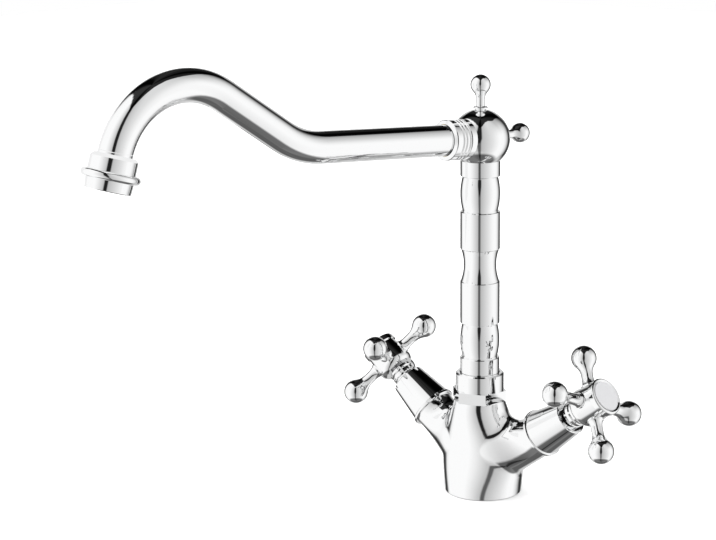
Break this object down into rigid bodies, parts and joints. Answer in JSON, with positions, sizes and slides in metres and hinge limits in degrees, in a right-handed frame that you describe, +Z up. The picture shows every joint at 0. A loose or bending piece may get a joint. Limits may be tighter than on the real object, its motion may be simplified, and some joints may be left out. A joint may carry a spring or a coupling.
{
  "type": "kitchen mixer tap",
  "caption": "Chromed deck-mounted kitchen mixer tap with a ringed column, a swivelling swan-neck spout from a ball elbow and cross handles on sloping arms.",
  "frame": {"origin": "middle of the foot's underside, on the worktop", "axes": "+Z up, arms along X with the cold handle at +X, spout towards -Y and swung towards the hot side at rest"},
  "size_m": [0.2185, 0.3337, 0.3025],
  "materials": {
    "chrome": "polished",
    "seal_rubber": "matt",
    "brass": "turned",
    "steel": "satin",
    "white_plastic": "moulded",
    "ceramic": "lapped ceramic"
  },
  "bodies": {
    "mixer": {"mixer_body": "chrome", "base_seal": "seal_rubber", "swivel_nut": "chrome", "glide_ring": "white_plastic", "cold_valve_cover": "chrome", "cold_headwork": "brass", "cold_headwork_o_ring": "seal_rubber", "cold_seat_seal": "seal_rubber", "cold_fixed_disc": "ceramic", "hot_valve_cover": "chrome", "hot_headwork": "brass", "hot_headwork_o_ring": "seal_rubber", "hot_seat_seal": "seal_rubber", "hot_fixed_disc": "ceramic"},
    "spout": {"column": "chrome", "stem_o_ring_1": "seal_rubber", "stem_o_ring_2": "seal_rubber", "ball_elbow": "chrome", "elbow_seal": "seal_rubber", "top_finial": "chrome", "rear_finial": "chrome", "spout_nut": "chrome", "spout_washer": "seal_rubber", "spout_ferrule": "brass", "spout_tube": "chrome", "spout_nozzle": "chrome", "aerator_shell": "chrome", "aerator_washer": "seal_rubber", "flow_straightener": "white_plastic", "aerator_screen_1": "steel", "aerator_screen_2": "steel"},
    "hot_control": {"hot_handle": "chrome", "hot_index_cap": "chrome", "hot_index_plate": "white_plastic", "hot_handle_screw": "steel", "hot_spindle": "brass", "hot_spindle_o_ring": "seal_rubber", "hot_spindle_clip": "steel", "hot_moving_disc": "ceramic"},
    "cold_control": {"cold_handle": "chrome", "cold_index_cap": "chrome", "cold_index_plate": "white_plastic", "cold_handle_screw": "steel", "cold_spindle": "brass", "cold_spindle_o_ring": "seal_rubber", "cold_spindle_clip": "steel", "cold_moving_disc": "ceramic"}
  },
  "joints": [
    {"name": "spout_swivel", "type": "hinge", "parent": "mixer", "child": "spout", "pos_m": [0, -0.0041, 0.0635], "axis": [0, 0, 1], "continuous": true},
    {"name": "hot_turn", "type": "hinge", "parent": "mixer", "child": "hot_control", "pos_m": [-0.08462, 0.0036, 0.07425], "axis": [-0.8192, 0, 0.5736], "range_deg": [0, 90]},
    {"name": "cold_turn", "type": "hinge", "parent": "mixer", "child": "cold_control", "pos_m": [0.08462, 0.0036, 0.07425], "axis": [0.8192, 0, 0.5736], "range_deg": [-90, 0]}
  ]
}
